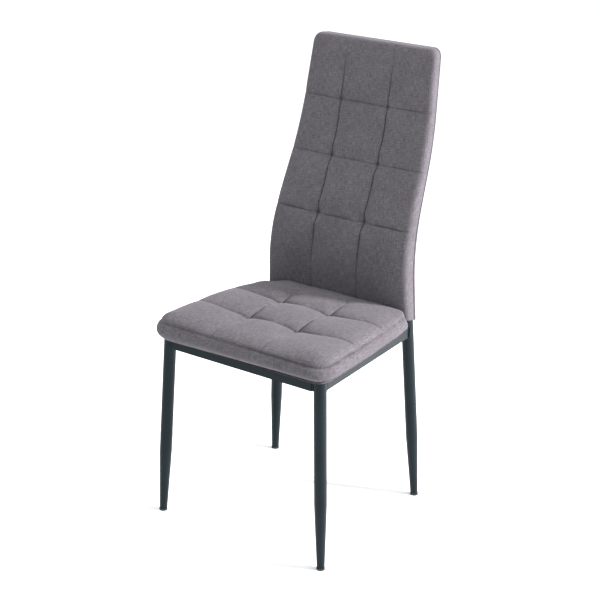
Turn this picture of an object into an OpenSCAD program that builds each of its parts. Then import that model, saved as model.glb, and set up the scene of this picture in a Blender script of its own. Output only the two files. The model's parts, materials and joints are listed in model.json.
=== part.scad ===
// Dining chair: an upholstered seat and a tall curved upholstered back on a
// welded frame of round and rectangular steel tube.
// +Z is up and the chair faces -Y. The origin is on the floor, in the middle
// of the chair's width and depth. Left and right are as seen from the front,
// so left is -X.

/* [Seat frame] */
// Height of the rails' top face, where the cushion rests
frame_top = 398.8; // [380:0.2:420]
// Height of the rail tube
rail_h = 22.5; // [20:0.5:25]
// Width of the rail tube
rail_w = 20; // [16:1:22]
// Wall of every steel tube
tube_wall = 1.2; // [1:0.1:2]
// Distance between the front legs at the seat frame
front_spread = 367; // [355:1:380]
// Distance between the rear legs at the seat frame
rear_spread = 330; // [322:1:336]
// Distance from the front legs to the rear legs at the seat frame
frame_depth = 350; // [335:1:370]
// Side of the front corner plates
front_plate = 50; // [45:1:60]
// Side of the rear corner plates
rear_plate = 62; // [58:1:70]
// Thickness of the corner plates
plate_t = 2.5; // [2:0.5:4]

/* [Legs] */
// Outer diameter of the leg tube
leg_d = 25.4; // [22:0.1:26]
// Diameter of a leg at its foot
foot_d = 16; // [14:0.5:20]
// Height at which a leg reaches its full diameter
taper_h = 140; // [100:5:200]
// Sideways splay of a front leg between frame and floor
front_splay_x = 18; // [5:1:25]
// Forward splay of a front leg between frame and floor
front_splay_y = 5; // [0:1:15]
// Sideways splay of a rear leg between frame and floor
rear_splay_x = 21.5; // [20:0.5:23]
// Backward splay of a rear leg between frame and floor
rear_splay_y = 28.5; // [22:0.5:34]
// Height of the foot glide below the tube
glide_h = 4.5; // [3:0.5:8]
// Diameter of the foot glide
glide_d = 17; // [16:0.5:22]

/* [Seat cushion] */
// Width of the cushion near its front
seat_w = 416; // [404:1:424]
// Width of the cushion at its rear edge
seat_rear_w = 364; // [356:1:370]
// Overhang of the cushion in front of the front legs' centres
seat_overhang = 27; // [22:1:35]
// Height of the cushion
seat_h = 47; // [42:1:55]
// Gap from the cushion's rear edge to the centre of the rear legs
seat_rear_gap = 25; // [24:1:32]
// Thickness of the seat board
board_t = 12; // [9:1:15]
// Thickness of the upholstery fabric
cover_t = 1.2; // [1:0.1:2]
// Distance between the tufts, side to side
tuft_pitch_x = 120; // [110:2:140]
// Distance between the two rows of seat tufts
tuft_pitch_y = 112; // [110:2:135]

/* [Back] */
// Height of the top of the back
chair_h = 957; // [940:1:975]
// Height of the back's lower edge above the seat frame
back_gap = 16; // [14:1:20]
// Width of the back at its lower edge
back_low_w = 357; // [356:1:364]
// Width of the back at its top
back_top_w = 297; // [296:1:304]
// Height of the waist, where the uprights start to lean back
waist_z = 537; // [530:1:545]
// Height of the shoulder, where the lean eases again
shoulder_z = 772; // [760:1:785]
// Lean of the uprights between waist and shoulder
lean_mid = 20.2; // [19:0.2:21]
// Lean of the uprights above the shoulder
lean_top = 8.3; // [7.5:0.1:9]
// Bend radius of the uprights at the waist
waist_bend = 480; // [400:10:500]
// Bend radius of the uprights at the shoulder
shoulder_bend = 600; // [500:10:650]
// Diameter of the cross bars between the uprights
bar_d = 19; // [16:1:20]

/* [Hidden] */

$fn = 48;

steel = [0.19, 0.21, 0.23];
plastic = [0.07, 0.07, 0.08];
zinc = [0.72, 0.72, 0.74];
fabric = [0.46, 0.43, 0.45];
foam = [0.92, 0.89, 0.78];
ply = [0.78, 0.66, 0.48];
webbing = [0.30, 0.28, 0.26];
lining_black = [0.10, 0.10, 0.11];
twine_white = [0.88, 0.86, 0.80];

// Clearance left for a weld between two steel pieces
weld_gap = 0.1;
// Clearance between soft pieces
soft_gap = 0.3;
far = 700;

leg_r = leg_d / 2;
bore_r = leg_r - tube_wall;
foot_r = foot_d / 2;
foot_bore_r = foot_r - tube_wall;
rail_mid = frame_top - rail_h / 2;
plug_t = 2;
plug_stem = 16;
plug_slack = 0.15;
// A level stem in a leaning tube needs more slack
stem_slack = 1.3;

// Places of the legs' axes at the middle of the rails
upright_top = chair_h - 28;
rear_pad = 18.5;
back_reach = rear_splay_y * (1 - waist_z / rail_mid)
    + (shoulder_z - waist_z) * tan(lean_mid)
    + (chair_h - shoulder_z) * tan(lean_top) + rear_pad;
chair_d = seat_overhang + frame_depth + back_reach;
front_y = seat_overhang - chair_d / 2;
rear_y = front_y + frame_depth;

front_foot = [front_spread / 2 + front_splay_x, front_y - front_splay_y, 0];
front_knee = [front_spread / 2, front_y, rail_mid];
rear_foot = [rear_spread / 2 + rear_splay_x, rear_y + rear_splay_y, 0];
rear_knee = [rear_spread / 2, rear_y, rail_mid];

// The rear leg and its upright lie in one plane that tilts inwards by tilt.
// Its line in that plane is [y, height]: foot, waist, shoulder and top.
tilt = atan(rear_splay_x / rail_mid);
front_tilt = atan(front_splay_x / rail_mid);
leans = [-atan(rear_splay_y / rail_mid), lean_mid, lean_top];
rear_line = [
    [rear_foot[1], 0],
    [rear_foot[1] + waist_z * tan(leans[0]), waist_z],
    [rear_foot[1] + waist_z * tan(leans[0])
        + (shoulder_z - waist_z) * tan(lean_mid), shoulder_z],
    [rear_foot[1] + waist_z * tan(leans[0])
        + (shoulder_z - waist_z) * tan(lean_mid)
        + (upright_top - shoulder_z) * tan(lean_top), upright_top]
];
bends = [waist_bend, shoulder_bend];

// A bend turns from lean a to lean b. It turns backwards when way is 1.
function way(i) = leans[i + 1] > leans[i] ? 1 : -1;
function tangent(i) = bends[i] * tan(abs(leans[i + 1] - leans[i]) / 2);
function lean_dir(a) = [sin(a), cos(a)];
function bend_start(i) = rear_line[i + 1] - tangent(i) * lean_dir(leans[i]);
function bend_end(i) = rear_line[i + 1] + tangent(i) * lean_dir(leans[i + 1]);
function bend_centre(i) =
    bend_start(i) + way(i) * bends[i] * [cos(leans[i]), -sin(leans[i])];
// Which stretch of the rear tube holds height z: 0, 2 and 4 are straight
function stretch(z) =
    z < bend_start(0)[1] ? 0 : z < bend_end(0)[1] ? 1 :
    z < bend_start(1)[1] ? 2 : z < bend_end(1)[1] ? 3 : 4;
function arc_y(i, z) =
    bend_centre(i)[0]
    - way(i) * sqrt(pow(bends[i], 2) - pow(z - bend_centre(i)[1], 2));
function line_y(i, z) =
    rear_line[i][0] + (z - rear_line[i][1]) * tan(leans[i]);
// Place and lean of the upright's axis at height z
function upright_y(z) =
    stretch(z) % 2 == 1 ? arc_y((stretch(z) - 1) / 2, z) : line_y(stretch(z) / 2, z);
function upright_lean(z) =
    stretch(z) % 2 == 1
        ? let (i = (stretch(z) - 1) / 2)
            asin(way(i) * (z - bend_centre(i)[1]) / bends[i])
        : leans[stretch(z) / 2];
function upright_x(z) = rear_foot[0] - z * tan(tilt);

// Closed outlines run counter-clockwise, each corner with its own radius
function unit(v) = v / norm(v);
function left_normal(a, b) = unit([a[1] - b[1], b[0] - a[0]]);
function before(p, i) = p[(i + len(p) - 1) % len(p)];
function after(p, i) = p[(i + 1) % len(p)];
function bulges(p, i) = cross(p[i] - before(p, i), after(p, i) - p[i]) > 0;
function inset(p, d) = [
    for (i = [0 : len(p) - 1])
        let (m = left_normal(before(p, i), p[i]), k = left_normal(p[i], after(p, i)))
            p[i] + (m + k) * d / (1 + m * k)
];
function inset_radii(p, r, d) = [
    for (i = [0 : len(p) - 1]) bulges(p, i) ? max(r[i] - d, 1) : r[i] + d
];
function corner_arc(p, r, i, steps) =
    let (u = unit(before(p, i) - p[i]), v = unit(after(p, i) - p[i]),
         half = acos(u * v) / 2,
         c = p[i] + unit(u + v) * r / sin(half),
         s = p[i] + u * r / tan(half) - c,
         sweep = (bulges(p, i) ? 1 : -1) * (180 - 2 * half))
    [for (k = [0 : steps])
        let (a = atan2(s[1], s[0]) + sweep * k / steps)
            c + r * [cos(a), sin(a)]];
function rounded(p, r, steps = 7) =
    [for (i = [0 : len(p) - 1]) each corner_arc(p, r[i], i, steps)];
function rounded_inset(p, r, d) = rounded(inset(p, d), inset_radii(p, r, d));

// The back's side view in [y, z], and its front view in [x, z]
back_low = frame_top + back_gap;
front_waist = rear_line[1] + [-28, 17];
front_shoulder = rear_line[2] + [-24.6, -2.4];
rear_waist = rear_line[1] + [rear_pad + 27 * tan(lean_mid), 27];
rear_shoulder = rear_line[2] + [rear_pad, 0];
front_low_lean = -5.5;
front_top_lean = 9.8;
rear_low_lean = -3.4;
function slide(p, lean, z) = [p[0] + (z - p[1]) * tan(lean), z];
back_side = [
    slide(rear_waist, rear_low_lean, back_low), rear_waist, rear_shoulder,
    slide(rear_shoulder, lean_top, chair_h),
    slide(front_shoulder, front_top_lean, chair_h), front_shoulder, front_waist,
    slide(front_waist, front_low_lean, back_low)
];
back_side_r = [5, 400, 500, 6, 14, 500, 300, 9];
back_face = [
    [-back_low_w / 2, back_low], [back_low_w / 2, back_low],
    [back_top_w / 2, chair_h], [-back_top_w / 2, chair_h]
];
back_face_r = [6, 6, 20, 20];
seam_setback = 15;

// Heights of the pieces that cross the back
bar_heights = [446, 668, 905];
strap_heights = [545, 606, 720, 835, 875];
back_tuft_heights = [606, 720, 835];
strap_w = 40;
back_tuft_x = 57;
back_twine_length = 2.5;
foam_standoff = leg_r + 2.6;
rear_foam_standoff = leg_r + 0.8;
strap_t = 1.5;
strap_slack = 0.4;

// The cushion is blended from level outlines: [height, inset]
seat_levels = [
    [0, 13], [0.25 * seat_h, 3], [0.5 * seat_h, 0], [0.85 * seat_h, 2], [seat_h, 8]
];
seat_rear = rear_y - seat_rear_gap;
seat_rear_slope = 0.12;
hem_w = 36;
board_inset = 7;
board_z = frame_top + cover_t;
lining_t = 0.6;
tuft_x = tuft_pitch_x / 2;
seat_tuft_ys = [front_y + 99, front_y + 99 + tuft_pitch_y];
twine_r = 1;
knot_r = 3;
knot_t = 2.5;
seat_twine_top = frame_top + 29;

screw_r = 3;
screw_head_r = 6;
screw_head_h = 3.5;
screw_top = frame_top + 11.5;
nut_flange_r = 9;
nut_flange_t = 1.5;
nut_barrel_r = 3.9;
nut_bore_r = screw_r + 0.05;

// A level inset moves the rear edge less than the other three
function seat_outline(z, level) =
    let (y1 = seat_rear - seat_rear_slope * z + 0.7 * level,
         y0 = front_y - seat_overhang)
    [[-seat_w / 2, y0], [seat_w / 2, y0], [seat_rear_w / 2, y1], [-seat_rear_w / 2, y1]];
seat_outline_r = [36, 36, 22, 22];

// A rail's ends, at the legs' axes
rail_inboard = 2;
side_rail = [
    [front_knee[0] - rail_inboard, front_y], [rear_knee[0] - rail_inboard, rear_y]
];
function rail_inner_x(y) =
    side_rail[0][0] - rail_w / 2
    - (y - front_y) * (side_rail[0][0] - side_rail[1][0]) / frame_depth;

// A screw stands inside each corner of the frame: [x, y] on the right side
screw_spots = [
    [rail_inner_x(front_y) - 16, front_y + rail_w / 2 + 16],
    [rail_inner_x(rear_y) - 13, rear_y - rail_w / 2 - 35]
];

// Staples along the cloth's hem, just inside the rails: [x, y, turn]
staple_inset = 6;
staples = [
    for (x = [-96 : 48 : 96]) [x, front_y + rail_w / 2 + staple_inset, 0],
    for (side = [-1, 1], k = [0 : 4])
        let (y = front_y + 84 + k * 40)
            [side * (rail_inner_x(y) - staple_inset), y, 90],
    for (x = [-72 : 48 : 72]) [x, seat_rear - 30, 0]
];
staple_w = 10;
staple_wire = 0.7;
staple_leg = 6;

// Helpers
module on_side(side) mirror([side < 0 ? 1 : 0, 0, 0]) children();

module along(a, b) {
    d = b - a;
    translate(a)
        rotate([0, acos(d[2] / norm(d)), atan2(d[1], d[0])])
            children();
}

module layer(z0, z1)
    translate([-far, -far, z0])
        cube([2 * far, 2 * far, z1 - z0]);

// The straight line of a leg past the frame, solid, to cut what meets it
module leg_envelope(foot, knee, r)
    along(foot, knee)
        cylinder(r = r, h = norm(knee - foot) + 3 * rail_h);

// The right-hand rear leg and upright lie in this tilted plane
module in_rear_plane()
    translate([rear_foot[0], 0, 0])
        rotate([0, -tilt, 0])
            children();

// Rings of a tube in its own plane: [y, height, lean, outer radius]
function bend_rings(i, n) = [
    for (k = [0 : n])
        let (a = leans[i] + (leans[i + 1] - leans[i]) * k / n,
             c = bend_centre(i) - way(i) * bends[i] * [cos(a), -sin(a)])
            [c[0], c[1], a, leg_r]
];
rear_rings = concat(
    [[line_y(0, glide_h), glide_h, leans[0], foot_r],
     [line_y(0, taper_h), taper_h, leans[0], leg_r]],
    bend_rings(0, 9), bend_rings(1, 5),
    [[rear_line[3][0], rear_line[3][1], leans[2], leg_r]]
);
front_lean = atan(front_splay_y / rail_mid);
front_rings = [
    for (z = [glide_h, taper_h, frame_top - plug_t])
        [front_foot[1] + z * tan(front_lean), z, front_lean,
            z < taper_h ? foot_r : leg_r]
];

tube_sides = 36;
function ring_point(ring, r, t) = [
    r * cos(t), ring[0] + r * sin(t) * cos(ring[2]), ring[1] - r * sin(t) * sin(ring[2])
];
// A point of an end ring, slid along the tube until it is level at height z
function level_point(p, lean, lean_x, z) =
    let (u = (z - p[0] * sin(lean_x) - p[2] * cos(lean_x)) / (cos(lean) * cos(lean_x)))
        p + u * [0, sin(lean), cos(lean)];
// The heights at which a tube's ends are cut level, or -1 for a square end
function wall_points(rings, less, lean_x, ends) = [
    for (k = [0 : len(rings) - 1], j = [0 : tube_sides - 1])
        let (p = ring_point(rings[k], rings[k][3] - less, 360 * j / tube_sides),
             z = k == 0 ? ends[0] : k == len(rings) - 1 ? ends[1] : -1)
            z < 0 ? p : level_point(p, rings[k][2], lean_x, z)
];

// A tube along its rings: an outer wall, an inner wall and a flat at each end
module swept_tube(rings, lean_x, ends) {
    n = tube_sides;
    last = (len(rings) - 1) * n;
    all = last + n;
    walls = [for (k = [0 : len(rings) - 2], j = [0 : n - 1])
        [k * n + j, (k + 1) * n + j, (k + 1) * n + (j + 1) % n, k * n + (j + 1) % n]];
    bore = [for (q = walls) [q[3] + all, q[2] + all, q[1] + all, q[0] + all]];
    foot_end = [for (j = [0 : n - 1]) [j, (j + 1) % n, all + (j + 1) % n, all + j]];
    top_end = [for (q = foot_end) [q[3] + last, q[2] + last, q[1] + last, q[0] + last]];
    polyhedron(
        concat(wall_points(rings, 0, lean_x, ends),
            wall_points(rings, tube_wall, lean_x, ends)),
        concat(walls, bore, foot_end, top_end));
}

module front_leg(side)
    color(steel)
        on_side(side)
            translate([front_foot[0], 0, 0])
                rotate([0, -front_tilt, 0])
                    swept_tube(front_rings, front_tilt, [glide_h, frame_top - plug_t]);

module rear_leg(side)
    color(steel)
        on_side(side)
            in_rear_plane()
                swept_tube(rear_rings, tilt, [glide_h, -1]);

// A rail along +X of its own frame, from 0 to its length
module rail_tube(length, grow, hollow)
    difference() {
        translate([0, -rail_w / 2 - grow, frame_top - rail_h])
            cube([length, rail_w + 2 * grow, rail_h]);
        if (hollow)
            translate([-1, tube_wall - rail_w / 2, frame_top - rail_h + tube_wall])
                cube([length + 2, rail_w - 2 * tube_wall, rail_h - 2 * tube_wall]);
    }

module side_rail_shape(grow = 0, hollow = true) {
    d = side_rail[1] - side_rail[0];
    translate([side_rail[0][0], side_rail[0][1], 0])
        rotate([0, 0, atan2(d[1], d[0])])
            rail_tube(norm(d), grow, hollow);
}

module cross_rail_shape(y, half, grow = 0, hollow = true)
    translate([-half, y, 0])
        rail_tube(2 * half, grow, hollow);

module side_rail_node(side)
    color(steel)
        on_side(side)
            difference() {
                side_rail_shape();
                leg_envelope(front_foot, front_knee, leg_r + weld_gap);
                leg_envelope(rear_foot, rear_knee, leg_r + weld_gap);
            }

module front_rail()
    color(steel)
        cross_rail_shape(front_y, front_knee[0] - leg_r - 1);

module rear_rail()
    color(steel)
        cross_rail_shape(rear_y, rear_knee[0] - leg_r - 1);

// A flat gusset in a corner of the frame, under the seat board
module corner_plate(side, end) {
    way_in = end == 0 ? 1 : -1;
    x = side_rail[end][0];
    y = side_rail[end][1];
    arm = end == 0 ? front_plate : rear_plate;
    corner = [x - rail_w / 2, y + way_in * rail_w / 2];
    color(steel)
        on_side(side)
            difference() {
                translate([0, 0, frame_top - plate_t])
                    linear_extrude(plate_t)
                        polygon([
                            [x, y], [x, corner[1] + way_in * arm],
                            corner + [0, way_in * arm], corner - [arm, 0],
                            [corner[0] - arm, y]
                        ]);
                side_rail_shape(weld_gap, false);
                cross_rail_shape(y, front_spread, weld_gap, false);
                translate([screw_spots[end][0], screw_spots[end][1], 0])
                    cylinder(r = screw_r + 0.4, h = chair_h);
            }
}

// Plastic foot insert: a cap on the floor and a stem in the tube
module glide(side, foot, knee)
    color(plastic)
        on_side(side)
            translate([foot[0], foot[1], 0]) {
                cylinder(r = glide_d / 2, h = glide_h);
                translate([
                    (knee[0] - foot[0]) * (glide_h + plug_stem / 2) / rail_mid,
                    (knee[1] - foot[1]) * (glide_h + plug_stem / 2) / rail_mid, glide_h - 1
                ])
                    cylinder(r = foot_bore_r - stem_slack, h = plug_stem);
            }

// Plastic plug that closes the top of a front leg
module leg_plug(side)
    color(plastic)
        on_side(side) {
            translate([front_knee[0], front_knee[1], frame_top - plug_t]) {
                cylinder(r = leg_r - soft_gap, h = plug_t);
                translate([0, 0, -plug_stem])
                    cylinder(r = bore_r - stem_slack, h = plug_stem + 1);
            }
        }

// Plastic plug that closes the top of an upright, inside the back
module upright_plug(side)
    color(plastic)
        on_side(side)
            in_rear_plane()
                translate([0, rear_line[3][0], rear_line[3][1]])
                    rotate([-lean_top, 0, 0]) {
                        cylinder(r = leg_r, h = plug_t);
                        translate([0, 0, -plug_stem])
                            cylinder(r = bore_r - plug_slack, h = plug_stem);
                    }

module back_bar(i) {
    z = bar_heights[i];
    half = upright_x(z);
    color(steel)
        difference() {
            translate([-half, upright_y(z), z])
                rotate([0, 90, 0])
                    linear_extrude(2 * half)
                        difference() {
                            circle(bar_d / 2);
                            circle(bar_d / 2 - tube_wall);
                        }
            for (side = [-1, 1])
                on_side(side)
                    upright_stub(z);
        }
}

// A short solid length of upright at height z, to cope a bar's end
module upright_stub(z)
    in_rear_plane()
        translate([0, upright_y(z), z])
            rotate([-upright_lean(z), 0, 0])
                cylinder(r = leg_r + 2 * weld_gap, h = 3 * bar_d, center = true);

// Stands its children on the front of the uprights at height z
module on_uprights(z)
    translate([0, upright_y(z), z])
        rotate([-upright_lean(z), 0, 0])
            translate([0, -leg_r - strap_slack, 0])
                children();

// Elastic strap stretched over the fronts of both uprights
module back_strap(i) {
    z = strap_heights[i];
    reach = upright_x(z) + leg_r / 2;
    color(webbing)
        difference() {
            on_uprights(z)
                translate([-reach, -strap_t, -strap_w / 2])
                    cube([2 * reach, strap_t, strap_w]);
            back_twine_holes(twine_r + 0.2);
        }
}

module back_twine_holes(r)
    for (z = back_tuft_heights, side = [-1, 1])
        on_uprights(z)
            translate([side * back_tuft_x, far / 10, 0])
                rotate([90, 0, 0])
                    cylinder(r = r, h = far / 5);

// Ties from the tufts of the back, knotted behind the straps
module back_twines()
    color(twine_white)
        for (z = back_tuft_heights, side = [-1, 1])
            on_uprights(z)
                translate([side * back_tuft_x, 0, 0])
                    rotate([90, 0, 0]) {
                        cylinder(r = twine_r, h = back_twine_length);
                        translate([0, 0, -knot_t])
                            cylinder(r = knot_r, h = knot_t);
                    }

// The back's outer form, its skin moved inwards by d
module back_form(d)
    intersection() {
        rotate([90, 0, 90])
            linear_extrude(far, center = true)
                polygon(rounded_inset(back_side, back_side_r, d));
        rotate([90, 0, 0])
            linear_extrude(2 * far, center = true)
                polygon(rounded_inset(back_face, back_face_r, d));
    }

module back_shell()
    difference() {
        back_form(0);
        back_form(cover_t);
        for (side = [-1, 1])
            on_side(side)
                translate([upright_x(back_low), line_y(0, back_low), back_low - 1])
                    cylinder(r = leg_r + 3 * soft_gap, h = cover_t + 2);
    }

// Everything behind the seam that joins the front cover to the rear panel
module behind_seam()
    rotate([90, 0, 90])
        linear_extrude(far, center = true)
            polygon(rounded([
                [back_side[0][0] - seam_setback, back_low - 50], [far, back_low - 50],
                [far, chair_h + 50],
                slide([rear_shoulder[0] - seam_setback, shoulder_z], lean_top,
                    chair_h + 50),
                rear_shoulder - [seam_setback, 0], rear_waist - [seam_setback, 0]
            ], [1, 1, 1, 1, 500, 400]));

module back_cover_front()
    color(fabric)
        difference() {
            back_shell();
            behind_seam();
        }

module back_cover_rear()
    color(fabric)
        intersection() {
            back_shell();
            behind_seam();
        }

// The uprights' line moved by d in y, from a low point up to height z
function upright_offset(d, z) = [
    slide(rear_line[1] + [d / cos(lean_mid), 0], leans[0], back_low + 6),
    rear_line[1] + [d / cos(lean_mid), 0], rear_line[2] + [d / cos(lean_mid), 0],
    slide(rear_line[2] + [d / cos(lean_mid), 0], lean_top, z)
];

// Front pad: between the front cover and the straps, and over the uprights' tops
module back_foam_front() {
    skin = inset(back_side, cover_t + soft_gap);
    r = inset_radii(back_side, back_side_r, cover_t + soft_gap);
    top = upright_top + 6;
    inner = upright_offset(-foam_standoff, top);
    color(foam)
        difference() {
            intersection() {
                rotate([90, 0, 90])
                    linear_extrude(far, center = true)
                        polygon(rounded([
                            inner[0], inner[1], inner[2], inner[3],
                            slide(skin[2], lean_top, top), skin[3], skin[4],
                            skin[5], skin[6], slide(skin[6], front_low_lean, back_low + 6)
                        ], [1, waist_bend + 10, shoulder_bend - 10, 1, 1, r[3], r[4],
                            r[5], r[6], 1]));
                back_form(cover_t + soft_gap);
            }
            back_twine_holes(twine_r + 0.2);
        }
}

// Thin rear pad: between the uprights and the rear panel
module back_foam_rear() {
    skin = inset(back_side, cover_t + soft_gap);
    r = inset_radii(back_side, back_side_r, cover_t + soft_gap);
    top = upright_top + 5.5;
    inner = upright_offset(rear_foam_standoff, top);
    color(foam)
        intersection() {
            rotate([90, 0, 90])
                linear_extrude(far, center = true)
                    polygon(rounded([
                        slide(skin[1], rear_low_lean, back_low + 6), skin[1], skin[2],
                        slide(skin[2], lean_top, top),
                        inner[3], inner[2], inner[1], inner[0]
                    ], [1, r[1], r[2], 0.5, 0.5, shoulder_bend, waist_bend, 1]));
            back_form(cover_t + soft_gap);
        }
}

// One level of the cushion at height z, its outline moved inwards by d
module seat_slice(z, level, d, t)
    translate([0, 0, frame_top + z])
        linear_extrude(t)
            polygon(rounded_inset(seat_outline(z, level), seat_outline_r, level + d));

// The cushion's outer form, its skin moved inwards by d
module seat_form(d)
    hull()
        for (i = [0 : len(seat_levels) - 1]) {
            z = min(max(seat_levels[i][0], d), seat_h - d - 0.01);
            seat_slice(z, seat_levels[i][1], d, 0.01);
        }

module screw_holes(r, z0, z1)
    for (side = [-1, 1], spot = screw_spots)
        translate([side * spot[0], spot[1], z0])
            cylinder(r = r, h = z1 - z0);

module seat_board()
    color(ply)
        difference() {
            seat_slice(cover_t, seat_levels[0][1], board_inset, board_t);
            screw_holes(nut_barrel_r + 0.1, board_z - 1, board_z + board_t + 1);
            screw_holes(nut_flange_r + 0.2, board_z + board_t - nut_flange_t, chair_h);
            seat_twine_lines(twine_r + 0.3, board_z - 1, chair_h);
            seat_twine_lines(knot_r + 0.3, board_z - 1, board_z + knot_t);
            staple_legs(0.1);
        }

module seat_foam()
    color(foam)
        difference() {
            seat_form(cover_t + soft_gap);
            seat_slice(0, seat_levels[0][1], board_inset - soft_gap, board_t + cover_t);
            seat_twine_lines(twine_r + 0.2, frame_top, seat_twine_top + 1);
        }

// Fabric all round, with a hem folded under the board
module seat_cover()
    color(fabric)
        difference() {
            seat_form(0);
            difference() {
                seat_form(cover_t);
                layer(0, board_z);
            }
            seat_slice(-1, seat_levels[0][1], hem_w, cover_t + 2);
            screw_holes(screw_r + 1, frame_top - 1, board_z + 1);
            staple_legs(0.1);
        }

// Black lining cloth that closes the underside inside the hem
module seat_lining()
    color(lining_black)
        difference() {
            seat_slice(cover_t - lining_t, seat_levels[0][1], hem_w + 0.5, lining_t);
            screw_holes(screw_r + 1, frame_top - 1, board_z + 1);
        }

module seat_screws()
    color(zinc) {
        screw_holes(screw_r, frame_top - plate_t - 1, screw_top);
        screw_holes(screw_head_r, frame_top - plate_t - screw_head_h,
            frame_top - plate_t);
    }

module tee_nuts()
    color(zinc)
        difference() {
            union() {
                screw_holes(nut_barrel_r, board_z + 2, board_z + board_t);
                screw_holes(nut_flange_r, board_z + board_t - nut_flange_t,
                    board_z + board_t);
            }
            screw_holes(nut_bore_r, board_z, chair_h);
        }

module seat_twine_lines(r, z0, z1)
    for (side = [-1, 1], y = seat_tuft_ys)
        translate([side * tuft_x, y, z0])
            cylinder(r = r, h = z1 - z0);

// Ties from the tufts of the seat, knotted in the underside of the board
module seat_twines()
    color(twine_white) {
        seat_twine_lines(twine_r, board_z, seat_twine_top);
        seat_twine_lines(knot_r, board_z, board_z + knot_t);
    }

module staple_legs(grow)
    for (s = staples)
        translate([s[0], s[1], frame_top])
            rotate([0, 0, s[2]])
                for (end = [-1, 1])
                    translate([
                        end * (staple_w - staple_wire) / 2 - staple_wire / 2 - grow,
                        -staple_wire / 2 - grow, -0.01
                    ])
                        cube([staple_wire + 2 * grow, staple_wire + 2 * grow,
                            staple_leg + grow]);

module seat_staples()
    color(zinc) {
        staple_legs(0);
        for (s = staples)
            translate([s[0], s[1], frame_top - staple_wire])
                rotate([0, 0, s[2]])
                    translate([-staple_w / 2, -staple_wire / 2, 0])
                        cube([staple_w, staple_wire, staple_wire]);
    }

front_leg(-1);  // front_leg_left
front_leg(1);  // front_leg_right
rear_leg(-1);  // rear_leg_left
rear_leg(1);  // rear_leg_right
front_rail();
rear_rail();
side_rail_node(-1);  // left_rail
side_rail_node(1);  // right_rail
corner_plate(-1, 0);  // corner_plate_front_left
corner_plate(1, 0);  // corner_plate_front_right
corner_plate(-1, 1);  // corner_plate_rear_left
corner_plate(1, 1);  // corner_plate_rear_right
glide(-1, front_foot, front_knee);  // glide_front_left
glide(1, front_foot, front_knee);  // glide_front_right
glide(-1, rear_foot, rear_knee);  // glide_rear_left
glide(1, rear_foot, rear_knee);  // glide_rear_right
leg_plug(-1);  // leg_plug_left
leg_plug(1);  // leg_plug_right
upright_plug(-1);  // upright_plug_left
upright_plug(1);  // upright_plug_right
back_bar(0);  // back_bar_low
back_bar(1);  // back_bar_middle
back_bar(2);  // back_bar_top
back_strap(0);  // back_strap_1
back_strap(1);  // back_strap_2
back_strap(2);  // back_strap_3
back_strap(3);  // back_strap_4
back_strap(4);  // back_strap_5
seat_board();
seat_foam();
seat_cover();
seat_lining();
seat_screws();
tee_nuts();
seat_staples();
seat_twines();
back_foam_front();
back_foam_rear();
back_cover_front();
back_cover_rear();
back_twines();
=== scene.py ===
"""Looks for an upholstered dining chair with a tall curved back on tube legs."""
import json
import math

import bmesh
import bpy
import numpy as np
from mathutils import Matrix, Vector, noise
from mathutils.bvhtree import BVHTree


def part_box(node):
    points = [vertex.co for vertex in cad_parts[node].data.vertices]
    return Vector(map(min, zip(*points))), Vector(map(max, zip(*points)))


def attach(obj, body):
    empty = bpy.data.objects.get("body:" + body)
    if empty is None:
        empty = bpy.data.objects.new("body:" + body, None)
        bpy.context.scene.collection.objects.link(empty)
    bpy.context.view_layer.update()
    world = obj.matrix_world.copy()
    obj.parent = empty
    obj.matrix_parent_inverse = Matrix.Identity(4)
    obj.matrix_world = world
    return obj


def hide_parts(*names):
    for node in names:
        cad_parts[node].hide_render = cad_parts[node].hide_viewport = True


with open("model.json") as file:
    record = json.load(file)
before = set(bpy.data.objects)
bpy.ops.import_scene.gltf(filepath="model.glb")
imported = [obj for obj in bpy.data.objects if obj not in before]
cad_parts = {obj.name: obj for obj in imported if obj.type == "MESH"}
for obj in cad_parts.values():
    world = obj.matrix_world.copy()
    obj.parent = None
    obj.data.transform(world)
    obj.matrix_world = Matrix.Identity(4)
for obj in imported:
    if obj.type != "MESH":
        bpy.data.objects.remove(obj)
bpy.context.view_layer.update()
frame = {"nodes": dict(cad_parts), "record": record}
bpy.ops.object.select_all(action="DESELECT")
MM = 0.001


# ---------------------------------------------------------------- camera
# a long lens, a little above the seat and to the chair's front right, tilted slightly
TARGET = Vector((0.0026, -0.0333, 0.4642))
DISTANCE = 3.052
AZIMUTH = math.radians(34.485)
ELEVATION = math.radians(20.596)
ROLL = math.radians(1.457)
LENS = 89.9

back_way = Vector((math.sin(AZIMUTH) * math.cos(ELEVATION),
                   -math.cos(AZIMUTH) * math.cos(ELEVATION),
                   math.sin(ELEVATION)))
camera = bpy.data.objects.new("camera", bpy.data.cameras.new("camera"))
bpy.context.scene.collection.objects.link(camera)
camera.data.lens = LENS
camera.data.sensor_width = 36
camera.location = TARGET + back_way * DISTANCE
turn = back_way.to_track_quat("Z", "Y").to_matrix()
camera.rotation_euler = (turn @ turn.Rotation(ROLL, 3, "Z")).to_euler()
bpy.context.scene.camera = camera


# ---------------------------------------------------------------- materials
def hex_color(code, alpha=1.0):
    """Turns an sRGB hex colour into Blender's linear one."""
    parts = [int(code[i:i + 2], 16) / 255 for i in (1, 3, 5)]
    lin = [c / 12.92 if c <= 0.04045 else ((c + 0.055) / 1.055) ** 2.4 for c in parts]
    return (*lin, alpha)


def add(tree, kind, settings=None, **links):
    """Adds a node; settings are its properties or inputs, links feed its inputs."""
    node = tree.nodes.new("ShaderNode" + kind)
    for name, value in (settings or {}).items():
        if isinstance(name, int) or name in node.inputs:
            node.inputs[name].default_value = value
        else:
            setattr(node, name, value)
    for name, socket in links.items():
        key = int(name[1:]) if name[0] == "_" else name.replace("__", " ")
        tree.links.new(socket, node.inputs[key])
    return node


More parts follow.
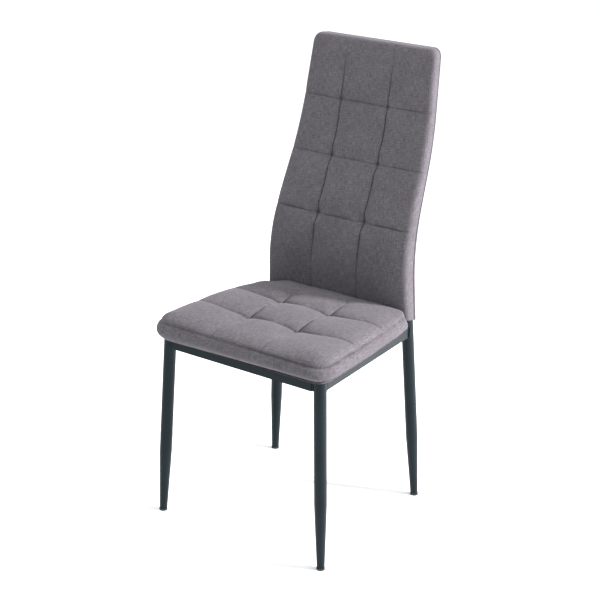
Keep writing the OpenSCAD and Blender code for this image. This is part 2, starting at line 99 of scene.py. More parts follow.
def new_material(name):
    """Gives a new material and its node tree, emptied."""
    mat = bpy.data.materials.new(name)
    mat.use_nodes = True
    mat.node_tree.nodes.clear()
    return mat, mat.node_tree


def close(tree, shader):
    """Sends the shader to the material's output."""
    add(tree, "OutputMaterial", Surface=shader.outputs[0])


def stops(node, points):
    """Sets a colour ramp from (place, colour) pairs."""
    ramp = node.color_ramp
    while len(ramp.elements) > 1:
        ramp.elements.remove(ramp.elements[-1])
    ramp.elements[0].position, ramp.elements[0].color = points[0]
    for place, color in points[1:]:
        ramp.elements.new(place).color = color
    return node


def melange_cloth(name, dark, mid, light, seam_dip_and_shade):
    """Plain-woven melange polyester: dark and pale fibres spun into slub yarns, so
    faint streaks run both ways over a heather ground, with a soft dusty sheen."""
    mat, t = new_material(name)
    uv = add(t, "UVMap", {"uv_map": "cloth"}).outputs["UV"]
    # slubs about 1.5 mm thick and 14 mm long, thicker than real so that they show
    slubs = []
    for scale in ((70, 640, 1), (640, 70, 1)):
        place = add(t, "Mapping", {"Scale": scale}, Vector=uv).outputs[0]
        slubs.append(add(t, "TexNoise", {"Scale": 1.0, "Detail": 3.0, "Roughness": 0.55},
                         Vector=place).outputs["Fac"])
    flecks = add(t, "TexNoise", {"Scale": 1100.0, "Detail": 2.0, "Roughness": 0.6},
                 Vector=uv).outputs["Fac"]
    drift = add(t, "TexNoise", {"Scale": 14.0, "Detail": 4.0}, Vector=uv).outputs["Fac"]
    yarn = add(t, "Math", {"operation": "ADD"}, _0=slubs[0], _1=slubs[1]).outputs[0]
    fleck = add(t, "Math", {"operation": "MULTIPLY_ADD", 1: 0.35}, _0=flecks, _2=yarn).outputs[0]
    tone = add(t, "Math", {"operation": "MULTIPLY_ADD", 1: 0.3}, _0=drift, _2=fleck).outputs[0]
    tone = add(t, "MapRange", {1: 0.9, 2: 1.75}, _0=tone).outputs[0]
    ground = stops(add(t, "ValToRGB", Fac=tone),
                   [(0.12, hex_color(dark)), (0.5, hex_color(mid)), (0.88, hex_color(light))])
    # painted shade: in the sewn lines, the tuft pits, the seams and the seat's rear edge
    # the cloth is darkened towards the shade colour, for the shade it dives into there
    line = add(t, "Attribute", {"attribute_name": "painted_shade"}).outputs["Fac"]
    color = add(t, "Mix", {"data_type": "RGBA"}, _0=line, _6=ground.outputs["Color"])
    color.inputs[7].default_value = hex_color(seam_dip_and_shade)
    # threads 1.6 mm apart, coarser than the real 0.5 mm so that the weave shows
    threads = []
    for axis in "XY":
        threads.append(add(t, "TexWave", {"bands_direction": axis, "Scale": 196.0,
                                          "Distortion": 0.8, "Detail": 1.0},
                           Vector=uv).outputs["Fac"])
    weave = add(t, "Math", {"operation": "MULTIPLY"}, _0=threads[0], _1=threads[1]).outputs[0]
    relief = add(t, "Math", {"operation": "MULTIPLY_ADD", 1: 0.9}, _0=yarn, _2=weave).outputs[0]
    bump = add(t, "Bump", {"Strength": 0.22, "Distance": 0.0006}, Height=relief)
    shader = add(t, "BsdfPrincipled",
                 {"Roughness": 0.95, "Sheen Weight": 0.12, "Sheen Roughness": 0.5,
                  "Sheen Tint": hex_color("#e6dce4"), "Specular IOR Level": 0.15},
                 Base__Color=color.outputs[2], Normal=bump.outputs["Normal"])
    close(t, shader)
    return mat


def powder_coat(name, dark, light):
    """Polyester powder coat baked on steel: dark, semi-gloss, with a faint orange peel
    that breaks up reflections, and a slightly uneven gloss."""
    mat, t = new_material(name)
    place = add(t, "TexCoord").outputs["Object"]
    peel = add(t, "TexNoise", {"Scale": 420.0, "Detail": 2.0}, Vector=place).outputs["Fac"]
    cloud = add(t, "TexNoise", {"Scale": 14.0, "Detail": 3.0}, Vector=place).outputs["Fac"]
    gloss = add(t, "MapRange", {1: 0.3, 2: 0.7, 3: 0.34, 4: 0.46}, _0=cloud).outputs[0]
    tint = stops(add(t, "ValToRGB", Fac=cloud),
                 [(0.3, hex_color(dark)), (0.7, hex_color(light))])
    bump = add(t, "Bump", {"Strength": 0.12, "Distance": 0.0004}, Height=peel)
    shader = add(t, "BsdfPrincipled",
                 {"Specular IOR Level": 0.17, "Specular Tint": hex_color("#d2e6ee")},
                 Roughness=gloss, Base__Color=tint.outputs["Color"],
                 Normal=bump.outputs["Normal"])
    close(t, shader)
    return mat


def speckled(name, dark, light, size_mm, rough, depth=0.0003, stretch=(1, 1, 1), metal=0.0):
    """A surface whose colour and relief wander by a grain of size_mm."""
    mat, t = new_material(name)
    place = add(t, "Mapping", {"Scale": stretch}, Vector=add(t, "TexCoord").outputs["Object"])
    grain = add(t, "TexNoise", {"Scale": 1 / (size_mm * MM), "Detail": 4.0},
                Vector=place.outputs[0]).outputs["Fac"]
    tint = stops(add(t, "ValToRGB", Fac=grain),
                 [(0.35, hex_color(dark)), (0.65, hex_color(light))])
    bump = add(t, "Bump", {"Strength": 0.4, "Distance": depth}, Height=grain)
    shader = add(t, "BsdfPrincipled", {"Roughness": rough, "Metallic": metal},
                 Base__Color=tint.outputs["Color"], Normal=bump.outputs["Normal"])
    close(t, shader)
    return mat


# the last colour is the painted shade that sewn lines, tuft pits and seams are darkened towards
cloth = melange_cloth("woven_melange_polyester", "#434044", "#545155", "#686368", "#1c1a1d")
finishes = {
    "steel": powder_coat("powder_coated_steel", "#0d1517", "#131c1f"),
    # injection-moulded polyethylene: matte black with a soft spark-eroded grain
    "plastic": speckled("moulded_polyethylene", "#0e0f10", "#17181a", 0.6, 0.55, 0.0002),
    # elastic webbing: coarse brown-grey weave, dull
    "webbing": speckled("elastic_webbing", "#3d3833", "#5a534b", 1.2, 0.9, 0.0005, (1, 1, 6)),
    # birch plywood: pale rotary-cut veneer whose grain runs across the seat
    "plywood": speckled("birch_plywood", "#b08b5c", "#d3b483", 2.5, 0.65, 0.0002, (0.15, 2, 2)),
    # open-cell polyurethane foam: cream, sponge-like
    "foam": speckled("polyurethane_foam", "#ddd2ae", "#f2ead0", 1.5, 0.95, 0.0008),
    # spun-bonded polypropylene lining: black felt-like sheet with a bonded dimple
    "lining": speckled("spunbond_lining", "#101012", "#1d1d20", 1.8, 0.85, 0.0003),
    # zinc-plated steel: bright, faintly mottled plating
    "zinc": speckled("zinc_plated_steel", "#a9adb2", "#c9ccd0", 1.0, 0.32, 0.0001, (1, 1, 1), 1.0),
    # waxed twine: cream, slightly shiny fibres
    "twine": speckled("waxed_twine", "#cfc6ab", "#e8e1cc", 0.7, 0.6, 0.0003),
    "upholstery": cloth,
}
for part in frame["record"]["subparts"]:
    node = frame["nodes"][part["node"]]
    node.data.materials.clear()
    node.data.materials.append(finishes[part["material_slot"]])


# ---------------------------------------------------------------- helpers
def begin(name, low, high):
    """Adds a cube that fills the box from low to high, and returns it in edit mode."""
    bpy.ops.object.select_all(action="DESELECT")
    size = [b - a for a, b in zip(low, high)]
    middle = [(a + b) / 2 for a, b in zip(low, high)]
    bpy.ops.mesh.primitive_cube_add(size=1, location=middle, scale=size)
    obj = bpy.context.object
    obj.name = name
    bpy.ops.object.transform_apply(location=True, rotation=True, scale=True)
    bpy.ops.object.mode_set(mode="EDIT")
    bpy.ops.mesh.select_all(action="DESELECT")
    return obj


def pick(obj, kind, test):
    """Selects the VERT, EDGE or FACE elements that pass the test. It is given a point's
    place, an edge's middle and direction, or a face's middle and normal."""
    bpy.ops.mesh.select_mode(type=kind)
    bpy.ops.mesh.select_all(action="DESELECT")
    mesh = bmesh.from_edit_mesh(obj.data)
    group = {"VERT": mesh.verts, "EDGE": mesh.edges, "FACE": mesh.faces}[kind]
    for item in group:
        if kind == "VERT":
            hit = test(item.co)
        elif kind == "EDGE":
            hit = test((item.verts[0].co + item.verts[1].co) / 2,
                       (item.verts[1].co - item.verts[0].co).normalized())
        else:
            hit = test(item.calc_center_median(), item.normal)
        item.select_set(hit)
    mesh.select_flush_mode()
    bmesh.update_edit_mesh(obj.data)


def make_active(obj):
    """Selects only this object."""
    bpy.ops.object.select_all(action="DESELECT")
    obj.select_set(True)
    bpy.context.view_layer.objects.active = obj


def leave(obj):
    """Goes back to object mode with only this object selected."""
    bpy.ops.object.mode_set(mode="OBJECT")
    make_active(obj)


def modify(obj, kind, **settings):
    """Adds a modifier and applies it at once."""
    make_active(obj)
    mod = obj.modifiers.new(kind.lower(), kind)
    for name, value in settings.items():
        setattr(mod, name, value)
    bpy.ops.object.modifier_apply(modifier=mod.name)


def points_of(obj):
    """The mesh's points, one row each."""
    out = np.empty(len(obj.data.vertices) * 3)
    obj.data.vertices.foreach_get("co", out)
    return out.reshape(-1, 3)


def place_points(obj, points):
    """Moves the mesh's points to the given rows."""
    obj.data.vertices.foreach_set("co", np.asarray(points, dtype=float).ravel())
    obj.data.update()


def weave_uv(obj, flat):
    """Lays the cloth's weave over the piece from the side that each face looks to,
    in metres. flat holds the points before any bending."""
    mesh = obj.data
    loops = np.empty(len(mesh.loops), dtype=int)
    mesh.loops.foreach_get("vertex_index", loops)
    starts = np.empty(len(mesh.polygons), dtype=int)
    mesh.polygons.foreach_get("loop_start", starts)
    counts = np.empty(len(mesh.polygons), dtype=int)
    mesh.polygons.foreach_get("loop_total", counts)
    a, b, c = (flat[loops[starts + k]] for k in range(3))
    way = np.abs(np.cross(b - a, c - b))
    side = np.repeat(np.argmax(way, axis=1), counts)
    corner = flat[loops]
    uv = np.where((side == 0)[:, None], corner[:, [1, 2]],
                  np.where((side == 1)[:, None], corner[:, [0, 2]], corner[:, [0, 1]]))
    layer = mesh.uv_layers.new(name="cloth")
    layer.data.foreach_set("uv", uv.astype(np.float32).ravel())


def smooth_step(x, low, high):
    """Rises smoothly from 0 at low to 1 at high."""
    t = np.clip((x - low) / (high - low), 0, 1)
    return t * t * (3 - 2 * t)


def wander(points, scale, seed):
    """Slow, repeatable noise at each point, about -1 to 1."""
    shift = Vector((seed, seed * 1.7, seed * 0.3))
    return np.array([noise.noise(Vector(p) * scale + shift) for p in points])


def finish_soft(obj):
    """Smooths a cushion, gives it its cloth and hangs it on the root body."""
    make_active(obj)
    bpy.ops.object.shade_smooth()
    obj.data.materials.clear()
    obj.data.materials.append(cloth)
    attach(obj, "root")


CREASE = 1.4 * MM


def sewn(u, v, lines_u, lines_v, plain, tuft, reach, hollow):
    """The stitched lines u = ... and v = ... that cross at the tufts. Returns how far
    they pull the cloth in, in metres, how much of a crease each point is, 0 to 1, for
    the u lines and for the v lines, and how far the nearest tuft is. plain holds the
    pull of each set of lines far from a tuft, tuft the pull there, reach how fast it
    fades, and hollow how wide the pillows round off at a line."""
    du = np.min([np.abs(u - k) for k in lines_u], axis=0)
    dv = np.min([np.abs(v - k) for k in lines_v], axis=0)
    near = np.min([np.hypot(u - a, v - b) for a in lines_u for b in lines_v], axis=0)
    hold = np.exp(-(near / reach) ** 1.3)
    pulls = []
    for away, depth in ((du, plain[0]), (dv, plain[1])):
        pull = depth + (tuft - depth) * hold
        soft = (1 - np.clip(away / hollow, 0, 1)) ** 2.2
        pulls.append(pull * (0.66 * soft + 0.34 * np.exp(-away / (3.0 * MM))))
    depth = (pulls[0] ** 3 + pulls[1] ** 3) ** (1 / 3)
    return depth, np.exp(-(du / CREASE) ** 2), np.exp(-(dv / CREASE) ** 2), near


def snap(values, lines, step):
    """Moves the points nearest to each line onto it, so that a crease is crisp."""
    out = values.copy()
    for line in lines:
        away = values - line
        out[(away > -step / 2) & (away <= step / 2)] = line
    return out


AIR_FRAMES = 20
AIR_CAP = 5 * MM


def inflate(obj, start, held):
    """Blows the coarse cushion up with air, its sewn and glued points held, and gives
    how far the cloth has moved at each point of the once subdivided mesh, AIR_CAP at
    the most."""
    twin = obj.copy()
    twin.data = obj.data.copy()
    bpy.context.scene.collection.objects.link(twin)
    place_points(twin, start)
    group = twin.vertex_groups.new(name="held")
    for i in np.nonzero(held > 0.02)[0]:
        group.add([int(i)], float(min(held[i], 1)), "REPLACE")
    make_active(twin)
    cloth_mod = twin.modifiers.new("air", "CLOTH")
    air = cloth_mod.settings
    air.quality = 5
    air.mass = 0.3
    air.tension_stiffness = air.compression_stiffness = 12
    air.shear_stiffness = 6
    air.bending_stiffness = 0.4
    air.use_pressure = True
    air.uniform_pressure_force = 4
    air.vertex_group_mass = "held"
    air.effector_weights.gravity = 0
    cloth_mod.collision_settings.use_collision = False
    scene = bpy.context.scene
    for number in range(1, AIR_FRAMES + 1):
        scene.frame_set(number)
    bpy.ops.object.modifier_apply(modifier="air")
    scene.frame_set(1)
    moved = points_of(twin) - start
    size = np.linalg.norm(moved, axis=1, keepdims=True)
    moved = moved * np.minimum(1, AIR_CAP / np.maximum(size, 1e-9))
    place_points(twin, moved)
    modify(twin, "SUBSURF", levels=1, render_levels=1)
    fine = points_of(twin)
    bpy.data.objects.remove(twin)
    return fine


def paint(obj, name, values):
    """Stores one value a point for the materials to read."""
    layer = obj.data.attributes.new(name, "FLOAT", "POINT")
    layer.data.foreach_set("value", np.asarray(values, dtype=np.float32))


# ---------------------------------------------------------------- seat cushion
low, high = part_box("seat_cover")
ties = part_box("seat_twines")
# the remesh's grid, and how wide a strip of it is drawn onto a sewn line
VOXEL = 4 * MM
SNAP = 2 * MM
# the tufts lie over the twines' middles
TWINE_HALF = 3 * MM
TUFT_X = ties[1][0] - TWINE_HALF
SEAT_LINES = (-TUFT_X, TUFT_X)
TUFT_YS = (ties[0][1] + TWINE_HALF, ties[1][1] - TWINE_HALF)
# the outline: a little wider than the cover's solid, and narrower at the rear
SEAT_W = high[0] - low[0] + 6 * MM
SEAT_D = high[1] - low[1]
REAR_SHARE = 0.885
FRONT_CORNER = 34 * MM
REAR_CORNER = 22 * MM
# the border stands from the hem up to the seam that joins it to the top
HEM_Z = low[2]
SEAM_Z = low[2] + 35 * MM
HEM_TUCK = 11.5 * MM
BORDER_FULL = 6.0 * MM
SEAM_DIP = 3.4 * MM
SIDE_BELLY = 4.0 * MM
LEFT_SAG = 4.5 * MM
RIGHT_LIFT = 2.6 * MM
# the top: how high it rises beside the seam, over the middle and along the sides
DOME = 14.0 * MM
DOME_REACH = 44 * MM
CROWN = 3.5 * MM
SIDE_ARCH = 4.8 * MM
REAR_FALL = 8.5 * MM

seat = begin("seat_cushion", (-SEAT_W / 2, low[1], HEM_Z), (SEAT_W / 2, high[1], SEAM_Z))
pick(seat, "VERT", lambda p: p.y > 0)
bpy.ops.transform.resize(value=(REAR_SHARE, 1, 1))
pick(seat, "EDGE", lambda m, d: abs(d.z) > 0.9 and m.y < 0)
bpy.ops.mesh.bevel(offset=FRONT_CORNER, segments=8)
pick(seat, "EDGE", lambda m, d: abs(d.z) > 0.9 and m.y > 0.05)
bpy.ops.mesh.bevel(offset=REAR_CORNER, segments=6)
leave(seat)
modify(seat, "REMESH", mode="VOXEL", voxel_size=VOXEL)


def seat_plan(x, y):
    """Distance in from the seat's outline, and the outward direction there."""
    half = SEAT_W / 2 * (1 - (1 - REAR_SHARE) * (y - low[1]) / SEAT_D)
    side = half - np.abs(x)
    ahead = y < low[1] + SEAT_D / 2
    end = np.where(ahead, y - low[1], high[1] - y)
    radius = np.where(ahead, FRONT_CORNER, REAR_CORNER)
    in_corner = (side < radius) & (end < radius)
    a, b = radius - side, radius - end
    reach = np.maximum(np.hypot(a, b), 1e-6)
    edge = np.where(in_corner, radius - reach, np.minimum(side, end))
    out_x = np.where(in_corner, a / reach, (side <= end).astype(float)) * np.sign(x)
    out_y = np.where(in_corner, b / reach, (side > end).astype(float)) * np.where(ahead, -1, 1)
    return edge, out_x, out_y


def seat_shape(p):
    """Rounds the border, domes the top and pulls in the sewn lines. Gives the shaped
    points, the painted shade of the sewn lines, tuft pits and seam at each, and how
    firmly each is held."""
    out = p.copy()
    x, y, z = snap(p[:, 0], SEAT_LINES, SNAP), snap(p[:, 1], TUFT_YS, SNAP), p[:, 2]
    out[:, 0], out[:, 1] = x, y
    edge, out_x, out_y = seat_plan(x, y)
    edge = np.maximum(edge, 0)
    rise = np.clip((z - HEM_Z) / (SEAM_Z - HEM_Z), 0, 1)
    wall = 1 - smooth_step(edge, 0.0, 0.006)
    # the border is fullest below its middle, tucked under at the hem
    tuck = HEM_TUCK * (1 - np.clip(rise / 0.42, 0, 1)) ** 1.9
    full = BORDER_FULL * np.sin(math.pi * np.clip(rise, 0, 1)) ** 1.2
    to_seam = np.maximum(np.hypot(edge, np.maximum(SEAM_Z - z, 0)) - 1.2 * MM, 0)
    seam_dip_and_shade = SEAM_DIP * np.exp(-(to_seam / (2.2 * MM)) ** 1.4)
    rear = smooth_step(out_y, 0.2, 0.9)
    # the sides belly out half way along
    belly = SIDE_BELLY * np.sin(math.pi * np.clip((y - low[1]) / SEAT_D, 0, 1)) * np.abs(out_x)
    inward = ((tuck - full) * wall + seam_dip_and_shade) * (1 - 0.6 * rear)
    inward -= belly * (1 - smooth_step(edge, 0, 0.04))
    out[:, 0] -= inward * out_x
    out[:, 1] -= inward * out_y
    # the rear face leans forward, as the back does
    out[:, 1] -= 0.12 * np.maximum(z - HEM_Z, 0) * smooth_step(y, -0.05, high[1])
    # the top: steep beside the seam, then nearly level
    top = smooth_step(rise, 0.9, 1.0)
    # where it is pressed against the back the top keeps its height, but it falls away
    # at the rear left corner
    loose = smooth_step(np.abs(x), 0.10, 0.17) * np.where(x > 0, 0.15, 1.0)
    pressed = smooth_step(y, high[1] - 0.05, high[1]) * (1 - loose)
    inner = edge + 0.024 * pressed
    dome = DOME * (1 - (1 - np.clip(inner / DOME_REACH, 0, 1)) ** 2.4)
    dome += CROWN * smooth_step(inner, 0.02, 0.14)
    arch = np.sin(math.pi * np.clip((y - low[1] + 0.02) / (SEAT_D + 0.02), 0, 1) ** 0.72)
    dome += SIDE_ARCH * arch * smooth_step(np.abs(x), 0.09, 0.17) * smooth_step(edge, 0.0, 0.012)
    dome -= REAR_FALL * smooth_step(y, -0.03, high[1]) * loose
    pull, along_y, along_x, near = sewn(x, y, SEAT_LINES, TUFT_YS,
                                        plain=(0.0034, 0.0062), tuft=0.0205,
                                        reach=0.038, hollow=0.062)
    fade = smooth_step(edge, -0.004, 0.042)
    out[:, 2] += top * (dome - pull * (0.22 + 0.78 * fade))
    # the hem hangs lower on the left than on the right
    hem = wall * (1 - smooth_step(rise, 0.0, 0.5))
    out[:, 2] -= LEFT_SAG * hem * smooth_step(-x, -0.1, 0.2)
    out[:, 2] += RIGHT_LIFT * hem * smooth_step(x, 0.0, 0.2)
    # underneath, the hem lies on the rails, and inside them the cloth is drawn up to the board
    under = 1 - smooth_step(rise, 0.0, 0.06)
    out[:, 2] += 1.0 * MM * under * smooth_step(edge, 0.036, 0.042)
    out[:, 2] += 0.0008 * wander(p, 22, 3.0) * top
    ripple = 0.0007 * wander(p, 30, 9.0) * wall
    out[:, 0] += ripple * out_x
    out[:, 1] += ripple * out_y
    # painted shade in the sewn lines: the cross lines all along, the others at the tufts
    held = np.exp(-(near / 0.030) ** 2)
    front_end = 1 - smooth_step(np.abs(y - low[1] - 0.012), 0.010, 0.026)
    lines = np.maximum(0.55 * along_x * smooth_step(edge, 0.0, 0.015),
                       along_y * np.maximum(0.7 * held, 0.5 * front_end))
    # painted shade in the tuft pits
    painted_pit_shade = 0.8 * np.exp(-(near / (4 * MM)) ** 2)
    # painted shade along the seam between the top and the border, darkest at the front right
    painted_seam_shade = 0.30 + 0.35 * smooth_step(x, -0.05, 0.12) * (1 - smooth_step(y, -0.16, 0.02))
    painted_seam_shade = painted_seam_shade * np.exp(-(to_seam / (1.3 * MM)) ** 2)
    # painted shade: the rear edge is darkened where it meets the back, for the shadow in the gap
    lines = np.maximum(lines, 0.7 * smooth_step(y, high[1] - 0.014, high[1] - 0.002))
    # air can't lift the hem, the underside, the seams or the tufts
    free = top * smooth_step(edge, 0.002, 0.02) * (1 - np.exp(-(near / 0.010) ** 2))
    free = free * (1 - 0.8 * np.maximum(along_x, 0.7 * along_y * np.exp(-(near / 0.05) ** 2)))
    free = np.maximum(free, 0.8 * wall * np.sin(math.pi * rise) * (to_seam > 3 * MM))
    return out, np.maximum(np.maximum(lines, painted_pit_shade) * top, painted_seam_shade), 1 - free


shaped, lines, held = seat_shape(points_of(seat))
swell = inflate(seat, shaped, held)
modify(seat, "SUBSURF", levels=1, render_levels=1)
flat = points_of(seat)
shaped, lines, held = seat_shape(flat)
shaped += swell * (1 - held)[:, None]
weave_uv(seat, flat)
place_points(seat, shaped)
# the cloth reads the painted shade from this layer
paint(seat, "painted_shade", lines)


# ---------------------------------------------------------------- back
def cad_tree(*names):
    """One search tree over the named CAD nodes."""
    points, faces = [], []
    for name in names:
        mesh = frame["nodes"][name].data
        start = len(points)
        points += [v.co.copy() for v in mesh.vertices]
        faces += [[start + i for i in f.vertices] for f in mesh.polygons]
    return BVHTree.FromPolygons(points, faces)


back_low, back_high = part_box("back_cover_front")
tree = cad_tree("back_cover_front", "back_cover_rear")
levels = np.linspace(back_low[2] + 12 * MM, back_high[2] - 24 * MM, 60)
# rays go just beside the middle, where no edge of a face lets them through
ASIDE = 3 * MM
FRONT, REAR, HALF = [], [], []
for z in levels:
    FRONT.append(tree.ray_cast(Vector((ASIDE, -1, z)), Vector((0, 1, 0)))[0].y)
    REAR.append(tree.ray_cast(Vector((ASIDE, 1, z)), Vector((0, -1, 0)))[0].y)
    HALF.append(tree.ray_cast(Vector((1, REAR[-1] - 12 * MM, z)), Vector((-1, 0, 0)))[0].x)


def beyond(z, values):
    """The profile at height z, carried on straight past its first and last level."""
    slope_low = (values[3] - values[0]) / (levels[3] - levels[0])
    slope_high = (values[-1] - values[-4]) / (levels[-1] - levels[-4])
    inside = np.interp(z, levels, values)
    return (inside + slope_low * np.minimum(z - levels[0], 0)
            + slope_high * np.maximum(z - levels[-1], 0))


# the flat pad that the back is bent from, and the seam that joins its two covers
BACK_W = 2 * HALF[0]
THICK = 48 * MM
SEAM_Y = 0.13 * THICK
TOP_Z = back_high[2] + 2.5 * MM
BACK_CORNER = 18 * MM
FRONT_EDGE = 11 * MM
SEAM_EDGE = 2 * MM
# the heights of the rows of tufts, and the lines they lie on, a little left of the middle
TUFT_ZS = (0.604, 0.718, 0.833)
BACK_LINES = (-0.0602, 0.0538)
# how far the sides and the top round off towards the rear, and how far the lower edge
# drops there
ROUND_X = 19 * MM
ROUND_Z = 7 * MM
REAR_DROP = 9 * MM


def bend_back(flat):
    """Takes points of the flat pad to the curved back: x narrows upwards, y runs from
    the front skin to the rear skin, and the sides round off towards the rear."""
    x, y, z = flat.T
    front, rear, half = beyond(z, FRONT), beyond(z, REAR), beyond(z, HALF)
    share = (y + THICK / 2) / THICK
    curl = np.clip((share - 0.50) / 0.50, 0, 1)
    round_off = 1 - np.sqrt(np.maximum(1 - curl ** 2, 0))
    inset = ROUND_X * round_off
    lip = smooth_step(z, back_high[2] - 0.03, back_high[2])
    # both covers dip into the seam that joins them
    groove = 0.0026 * np.exp(-np.abs(y - SEAM_Y) / (2.0 * MM))
    out = flat.copy()
    out[:, 0] = x * (half - inset - groove) / (BACK_W / 2)
    out[:, 1] = front + share * (rear - front)
    out[:, 2] -= (ROUND_Z * round_off + groove) * lip
    out[:, 2] -= REAR_DROP * share * (1 - smooth_step(z, back_low[2], back_low[2] + 0.07))
    return out


pad = begin("back_cushion", (-BACK_W / 2, -THICK / 2, back_low[2] + 2 * MM),
            (BACK_W / 2, SEAM_Y, TOP_Z))
pick(pad, "EDGE", lambda m, d: abs(d.y) > 0.9 and m.z > 0.8)
bpy.ops.mesh.bevel(offset=BACK_CORNER, segments=6)
pick(pad, "EDGE", lambda m, d: m.y < -THICK / 2 + MM and m.z > back_low[2] + 0.01)
bpy.ops.mesh.bevel(offset=FRONT_EDGE, segments=5)
pick(pad, "EDGE", lambda m, d: m.y > SEAM_Y - MM)
bpy.ops.mesh.bevel(offset=SEAM_EDGE, segments=2)
leave(pad)
modify(pad, "REMESH", mode="VOXEL", voxel_size=VOXEL)


def back_shape(p):
    """Crowns the front, and pulls in the sewn lines and the tufts. Gives the same three
    things as seat_shape."""
    out = p.copy()
    x, y, z = p.T
    # the vertical lines run straight down the curved back, however wide it is
    to_flat = BACK_W / 2 / beyond(z, HALF)
    u = snap(x / to_flat, BACK_LINES, 1.9 * MM)
    face = 1 - smooth_step(y, -THICK / 2 + 0.002, -THICK / 2 + 0.014)
    on_face = face > 0.5
    level = np.where(on_face, snap(z, TUFT_ZS, SNAP), z)
    # the pad is thinner towards the top, so its tufts are shallower there
    tuft = np.interp(z, (0.62, 0.72, 0.84), (0.0125, 0.0105, 0.0068))
    pull, along_z, along_x, near = sewn(u, level, BACK_LINES, TUFT_ZS,
                                        plain=(0.0092, 0.0076), tuft=0.0,
                                        reach=0.030, hollow=0.054)
    pull = np.maximum(pull, tuft * np.exp(-(near / 0.019) ** 1.15))
    above = smooth_step(TOP_Z - z, 0.02, 0.115)
    fade_z = (0.08 + 0.92 * above) * (0.42 + 0.58 * smooth_step(z, 0.47, 0.60))
    fade_x = 0.35 + 0.65 * smooth_step(BACK_W / 2 - np.abs(x), 0.0, 0.05)
    crown = 0.0045 * (1 - (x / (BACK_W / 2)) ** 2) * smooth_step(TOP_Z - z, 0.0, 0.06)
    out[:, 0] = np.where(on_face, u * to_flat, x)
    out[:, 2] = level
    out[:, 1] += face * (pull * fade_x * fade_z - crown + 0.0007 * wander(p, 18, 5.0))
    # painted shade in the vertical and horizontal sewn lines, darkest in the tuft pits
    lines = np.maximum(0.85 * along_z * (0.15 + 0.85 * above)
                       * (0.35 + 0.65 * smooth_step(z, 0.50, 0.58)), 0.36 * along_x * fade_x)
    lines = np.maximum(lines, 0.9 * np.exp(-(near / (4.5 * MM)) ** 2)) * on_face
    free = face * smooth_step(BACK_W / 2 - np.abs(x), 0.0, 0.02) * smooth_step(TOP_Z - z, 0, 0.02)
    free = free * (1 - np.exp(-(near / 0.012) ** 2)) * (1 - 0.9 * np.maximum(along_z, along_x))
    return out, lines, 1 - free


def seam_shade(points, strength):
    """The painted shade in the seam between the back's two covers, at each flat point."""
    return strength * np.exp(-(np.abs(points[:, 1] - SEAM_Y) / (1.6 * MM)) ** 2)


shaped, lines, held = back_shape(points_of(pad))
swell = inflate(pad, shaped, held)
modify(pad, "SUBSURF", levels=1, render_levels=1)
flat = points_of(pad)
shaped, lines, held = back_shape(flat)
shaped += swell * (1 - held)[:, None]
weave_uv(pad, flat)
place_points(pad, bend_back(shaped))
# painted shade of the sewn lines, the tuft pits and the seam between the covers
paint(pad, "painted_shade", np.maximum(lines, seam_shade(flat, 0.8)))

panel = begin("back_rear_panel", (-BACK_W / 2, SEAM_Y + 0.4 * MM, back_low[2]),
              (BACK_W / 2, THICK / 2, TOP_Z))
pick(panel, "EDGE", lambda m, d: abs(d.y) > 0.9 and m.z > 0.8)
bpy.ops.mesh.bevel(offset=BACK_CORNER, segments=6)
pick(panel, "EDGE", lambda m, d: m.y < SEAM_Y + MM)
bpy.ops.mesh.bevel(offset=SEAM_EDGE, segments=2)
leave(panel)
modify(panel, "REMESH", mode="VOXEL", voxel_size=0.75 * VOXEL)
modify(panel, "SUBSURF", levels=1, render_levels=1)
flat = points_of(panel)
weave_uv(panel, flat)
place_points(panel, bend_back(flat))
# painted shade of the seam between the covers
paint(panel, "painted_shade", seam_shade(flat, 0.5))

finish_soft(seat)
finish_soft(pad)
finish_soft(panel)
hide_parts("seat_cover", "seat_foam")
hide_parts("back_cover_front", "back_foam_front")
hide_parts("back_cover_rear", "back_foam_rear")


# ---------------------------------------------------------------- underside
PUCKERS = 260
lining_low, lining_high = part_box("seat_lining")
edge_points = [v.co for v in frame["nodes"]["seat_lining"].data.vertices]
rear_half = max(v.x for v in edge_points if v.y > lining_high[1] - MM)
front_half = max(v.x for v in edge_points if v.y < lining_low[1] + MM)
lining = begin("seat_dust_lining", (-front_half, lining_low[1], lining_low[2] - MM),
               (front_half, lining_high[1], lining_low[2] - 0.1 * MM))
pick(lining, "FACE", lambda m, n: n.z < 0.9)
bpy.ops.mesh.delete(type="FACE")
pick(lining, "VERT", lambda p: p.y > 0)
bpy.ops.transform.resize(value=(rear_half / front_half, 1, 1))
bpy.ops.mesh.select_all(action="SELECT")
bpy.ops.mesh.subdivide(number_cuts=44)
leave(lining)
p = points_of(lining)
inner = np.minimum(front_half - np.abs(p[:, 0]),
                   np.minimum(p[:, 1] - lining_low[1], lining_high[1] - p[:, 1]))
# stapled tight all round, it hangs a little in the middle and puckers at its edge
p[:, 2] -= 2.0 * MM * smooth_step(inner, 0.03, 0.14)
pucker = 1 + np.sin(p[:, 0] * PUCKERS) * np.sin(p[:, 1] * PUCKERS)
near_edge = smooth_step(inner, 0.004, 0.02) * (1 - smooth_step(inner, 0.02, 0.06))
p[:, 2] -= 0.3 * MM * pucker * near_edge
place_points(lining, p)
modify(lining, "SOLIDIFY", thickness=0.4 * MM, offset=0)
lining.data.materials.append(finishes["lining"])
make_active(lining)
bpy.ops.object.shade_smooth()
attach(lining, "root")
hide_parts("seat_lining")


# ---------------------------------------------------------------- welds
rail_low, rail_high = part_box("right_rail")


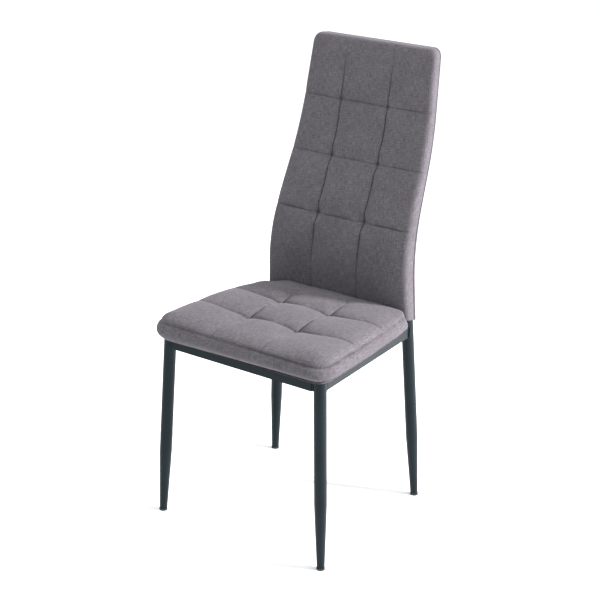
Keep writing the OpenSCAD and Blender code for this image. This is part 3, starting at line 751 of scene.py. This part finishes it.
def weld(name, x, y, radius):
    """A vertical weld bead with its torch ripples, laid in a rail's corner at (x, y)."""
    bpy.ops.object.select_all(action="DESELECT")
    tall = rail_high[2] - rail_low[2] - 1.5 * MM
    bpy.ops.mesh.primitive_cylinder_add(vertices=14, radius=radius, depth=tall,
                                        location=(x, y, (rail_low[2] + rail_high[2]) / 2))
    bead = bpy.context.object
    bead.name = name
    bpy.ops.object.transform_apply(location=True, rotation=True, scale=True)
    bpy.ops.object.mode_set(mode="EDIT")
    pick(bead, "EDGE", lambda m, d: abs(d.z) > 0.9)
    bpy.ops.mesh.subdivide(number_cuts=14)
    pick(bead, "FACE", lambda m, n: abs(n.z) > 0.9)
    bpy.ops.mesh.bevel(offset=0.45 * radius, segments=2)
    leave(bead)
    p = points_of(bead)
    # each pass of the torch leaves a ripple 3 mm long
    ripple = 1 + 0.10 * np.sin(p[:, 2] / (3 * MM) * 2 * math.pi)
    p[:, 0] = x + (p[:, 0] - x) * ripple
    p[:, 1] = y + (p[:, 1] - y) * ripple
    place_points(bead, p)
    bpy.ops.object.shade_smooth()
    bead.data.materials.append(finishes["steel"])
    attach(bead, "root")


# the right legs' centres at the seat frame, which the side rail runs between
knee_front = Vector((183.5, -221.98)) * MM
knee_rear = Vector((165, 128.02)) * MM
along = (knee_rear - knee_front).normalized()
outward = Vector((along.y, -along.x))
# a side rail's outer face meets a leg this far along the rail and out from its middle
FROM_LEG = 8.5 * MM
FROM_RAIL = 9.6 * MM
for side, label in ((-1, "left"), (1, "right")):
    spot = knee_front + along * FROM_LEG + outward * FROM_RAIL
    weld("weld_side_front_" + label, side * spot.x, spot.y, 1.7 * MM)
    spot = knee_rear - along * FROM_LEG + outward * FROM_RAIL
    weld("weld_side_rear_" + label, side * spot.x, spot.y, 1.7 * MM)
    weld("weld_front_" + label, side * 172.2 * MM, -229.2 * MM, 2.6 * MM)
    weld("weld_rear_" + label, side * 152.2 * MM, 137.2 * MM, 2.0 * MM)


# ---------------------------------------------------------------- stage
# a white room: a hard key from the rear right throws the back's shadow over the seat
bpy.ops.object.select_all(action="DESELECT")
bpy.ops.mesh.primitive_plane_add(size=12, location=(0, 0, 0))
floor = bpy.context.object
floor.name = "floor"
floor_mat, t = new_material("pale_floor")
close(t, add(t, "BsdfPrincipled", {"Base Color": hex_color("#fdfdfd"), "Roughness": 0.9}))
floor.data.materials.append(floor_mat)


def lamp(name, place, size, watts, color, aim=(0, 0, 0.45)):
    """Hangs a square lamp at a place and turns it towards the seat."""
    light = bpy.data.lights.new(name, "AREA")
    light.size = size
    light.energy = watts
    light.color = color
    obj = bpy.data.objects.new(name, light)
    obj.location = place
    obj.rotation_euler = (Vector(place) - Vector(aim)).to_track_quat("Z", "Y").to_euler()
    bpy.context.scene.collection.objects.link(obj)


lamp("key", (2.78, 1.14, 1.98), 0.40, 272, (1.0, 0.95, 0.98))
lamp("overhead", (0.4, 0.1, 3.4), 1.6, 50, (1.0, 0.97, 1.0))
world = bpy.data.worlds.new("world")
world.use_nodes = True
world.node_tree.nodes["Background"].inputs["Color"].default_value = (1.0, 1.045, 1.07, 1)
world.node_tree.nodes["Background"].inputs["Strength"].default_value = 1.0
bpy.context.scene.world = world
bpy.context.scene.view_settings.view_transform = "Standard"
